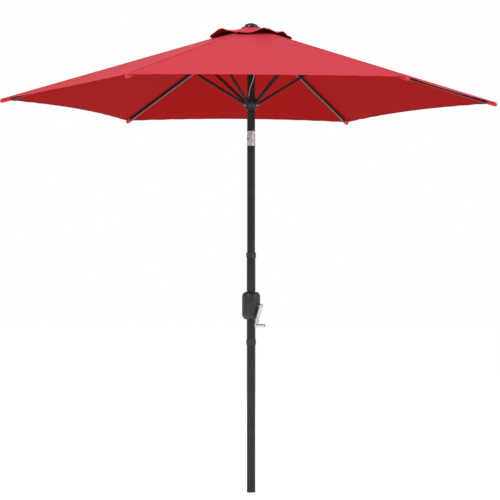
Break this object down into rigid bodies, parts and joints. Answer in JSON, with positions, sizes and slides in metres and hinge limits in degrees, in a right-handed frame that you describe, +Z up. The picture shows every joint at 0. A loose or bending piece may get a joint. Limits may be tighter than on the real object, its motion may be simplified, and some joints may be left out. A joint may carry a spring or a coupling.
{
  "type": "patio umbrella",
  "caption": "Crank-lift patio umbrella with a push-button tilt, a hexagonal red canopy with a small vent tier, and a black pole that stands in a separate base.",
  "frame": {"origin": "centre of the pole foot's flat underside", "axes": "+Z up the pole, +X out along rib 1; the canopy is open and upright"},
  "size_m": [2.203, 1.9124, 2.0784],
  "materials": {
    "pole_coat": "satin black powder coat",
    "black_plastic": "satin moulding with a fine grain",
    "zinc": "satin die casting",
    "pressed_steel": "plated pressed steel",
    "plain_steel": "bright wire and turned steel",
    "lift_cord": "braided polyester",
    "canopy_cloth": "plain-woven red polyester"
  },
  "bodies": {
    "lower_pole": {"foot_cap": "black_plastic", "lower_tube": "pole_coat"},
    "crank_pole": {"joint_collar": "black_plastic", "crank_tube": "pole_coat", "housing_body": "black_plastic", "housing_cap": "black_plastic", "shaft_bushing": "black_plastic", "housing_screw": "plain_steel", "brake_spring": "plain_steel", "upper_collar": "black_plastic", "mid_tube": "pole_coat", "tilt_fork": "zinc", "tilt_rivet": "zinc", "button_spring": "plain_steel", "lift_cord_lower": "lift_cord"},
    "tilt_button": {"tilt_button": "zinc"},
    "canopy_pole": {"tilt_tongue": "zinc", "upper_tube": "pole_coat", "hub": "black_plastic", "hub_ring": "plain_steel", "pulley_pin": "plain_steel", "finial_flange": "black_plastic", "finial": "black_plastic", "vent_cap": "canopy_cloth", "lift_cord_upper": "lift_cord", "lift_cord_outer": "lift_cord"},
    "pulley": {"cord_pulley": "black_plastic"},
    "runner": {"runner": "black_plastic"},
    "crank": {"crank_shaft": "plain_steel", "cord_spool": "black_plastic", "crank_arm": "pressed_steel", "grip_pin": "plain_steel"},
    "crank_grip": {"crank_grip": "pressed_steel"},
    "rib_1": {"rib_1": "pole_coat", "rib_tip_1": "black_plastic", "canopy_panel_1": "canopy_cloth"},
    "rib_2": {"rib_2": "pole_coat", "rib_tip_2": "black_plastic", "canopy_panel_2": "canopy_cloth"},
    "rib_3": {"rib_3": "pole_coat", "rib_tip_3": "black_plastic", "canopy_panel_3": "canopy_cloth", "closure_strap": "canopy_cloth"},
    "rib_4": {"rib_4": "pole_coat", "rib_tip_4": "black_plastic", "canopy_panel_4": "canopy_cloth"},
    "rib_5": {"rib_5": "pole_coat", "rib_tip_5": "black_plastic", "canopy_panel_5": "canopy_cloth"},
    "rib_6": {"rib_6": "pole_coat", "rib_tip_6": "black_plastic", "canopy_panel_6": "canopy_cloth"},
    "strut_1": {"strut_1": "pole_coat"},
    "strut_2": {"strut_2": "pole_coat"},
    "strut_3": {"strut_3": "pole_coat"},
    "strut_4": {"strut_4": "pole_coat"},
    "strut_5": {"strut_5": "pole_coat"},
    "strut_6": {"strut_6": "pole_coat"}
  },
  "joints": [
    {"name": "pole_pull_apart", "type": "slide", "parent": "lower_pole", "child": "crank_pole", "axis": [0, 0, 1], "range_m": [0, 0.09]},
    {"name": "pole_tilt", "type": "hinge", "parent": "crank_pole", "child": "canopy_pole", "pos_m": [0, 0, 1.577], "axis": [-0.342, 0.9397, 0], "range_deg": [0, 30]},
    {"name": "tilt_button", "type": "slide", "parent": "crank_pole", "child": "tilt_button", "axis": [-0.342, 0.9397, 0], "range_m": [0, 0.0025], "stiffness_N_per_m": 600, "deforming": ["button_spring"]},
    {"name": "runner_slide", "type": "slide", "parent": "canopy_pole", "child": "runner", "axis": [0, 0, 1], "range_m": [-0.426, 0], "deforming": ["lift_cord_outer", "vent_cap", "closure_strap", "canopy_panel_1", "canopy_panel_2", "canopy_panel_3", "canopy_panel_4", "canopy_panel_5", "canopy_panel_6"]},
    {"name": "pulley_turn", "type": "hinge", "parent": "canopy_pole", "child": "pulley", "pos_m": [0.006, -0.01039, 2.016], "axis": [0.866, 0.5, 0], "range_deg": [0, 2624.6]},
    {"name": "crank_turn", "type": "hinge", "parent": "crank_pole", "child": "crank", "pos_m": [0, 0, 0.826], "axis": [0.766, -0.6428, 0], "range_deg": [-2520.02, 0]},
    {"name": "grip_spin", "type": "hinge", "parent": "crank", "child": "crank_grip", "pos_m": [0.02113, -0.06817, 0.73921], "axis": [0.766, -0.6428, 0], "continuous": true},
    {"name": "rib_1_fold", "type": "hinge", "parent": "canopy_pole", "child": "rib_1", "pos_m": [0.03, 0, 2.04], "axis": [0, 1, 0], "range_deg": [0, 69.52]},
    {"name": "rib_2_fold", "type": "hinge", "parent": "canopy_pole", "child": "rib_2", "pos_m": [0.015, 0.02598, 2.04], "axis": [-0.866, 0.5, 0], "range_deg": [0, 69.52]},
    {"name": "rib_3_fold", "type": "hinge", "parent": "canopy_pole", "child": "rib_3", "pos_m": [-0.015, 0.02598, 2.04], "axis": [-0.866, -0.5, 0], "range_deg": [0, 69.52]},
    {"name": "rib_4_fold", "type": "hinge", "parent": "canopy_pole", "child": "rib_4", "pos_m": [-0.03, 0, 2.04], "axis": [0, -1, 0], "range_deg": [0, 69.52]},
    {"name": "rib_5_fold", "type": "hinge", "parent": "canopy_pole", "child": "rib_5", "pos_m": [-0.015, -0.02598, 2.04], "axis": [0.866, -0.5, 0], "range_deg": [0, 69.52]},
    {"name": "rib_6_fold", "type": "hinge", "parent": "canopy_pole", "child": "rib_6", "pos_m": [0.015, -0.02598, 2.04], "axis": [0.866, 0.5, 0], "range_deg": [0, 69.52]},
    {"name": "strut_1_fold", "type": "hinge", "parent": "rib_1", "child": "strut_1", "pos_m": [0.36449, 0, 1.92632], "axis": [0, -1, 0], "range_deg": [0, 126.3]},
    {"name": "strut_2_fold", "type": "hinge", "parent": "rib_2", "child": "strut_2", "pos_m": [0.18224, 0.31566, 1.92632], "axis": [0.866, -0.5, 0], "range_deg": [0, 126.3]},
    {"name": "strut_3_fold", "type": "hinge", "parent": "rib_3", "child": "strut_3", "pos_m": [-0.18224, 0.31566, 1.92632], "axis": [0.866, 0.5, 0], "range_deg": [0, 126.3]},
    {"name": "strut_4_fold", "type": "hinge", "parent": "rib_4", "child": "strut_4", "pos_m": [-0.36449, 0, 1.92632], "axis": [0, 1, 0], "range_deg": [0, 126.3]},
    {"name": "strut_5_fold", "type": "hinge", "parent": "rib_5", "child": "strut_5", "pos_m": [-0.18224, -0.31566, 1.92632], "axis": [-0.866, 0.5, 0], "range_deg": [0, 126.3]},
    {"name": "strut_6_fold", "type": "hinge", "parent": "rib_6", "child": "strut_6", "pos_m": [0.18224, -0.31566, 1.92632], "axis": [-0.866, -0.5, 0], "range_deg": [0, 126.3]}
  ],
  "couplings": [
    {"joint": "pulley_turn", "follows": "runner_slide", "rad_per_m": -107.53},
    {"joint": "crank_turn", "follows": "runner_slide", "rad_per_m": 103.24},
    {"joint": "rib_1_fold", "follows": "runner_slide", "rad_per_m": -2.8474},
    {"joint": "rib_2_fold", "follows": "runner_slide", "rad_per_m": -2.8474},
    {"joint": "rib_3_fold", "follows": "runner_slide", "rad_per_m": -2.8474},
    {"joint": "rib_4_fold", "follows": "runner_slide", "rad_per_m": -2.8474},
    {"joint": "rib_5_fold", "follows": "runner_slide", "rad_per_m": -2.8474},
    {"joint": "rib_6_fold", "follows": "runner_slide", "rad_per_m": -2.8474},
    {"joint": "strut_1_fold", "follows": "runner_slide", "rad_per_m": -5.1737},
    {"joint": "strut_2_fold", "follows": "runner_slide", "rad_per_m": -5.1737},
    {"joint": "strut_3_fold", "follows": "runner_slide", "rad_per_m": -5.1737},
    {"joint": "strut_4_fold", "follows": "runner_slide", "rad_per_m": -5.1737},
    {"joint": "strut_5_fold", "follows": "runner_slide", "rad_per_m": -5.1737},
    {"joint": "strut_6_fold", "follows": "runner_slide", "rad_per_m": -5.1737}
  ]
}
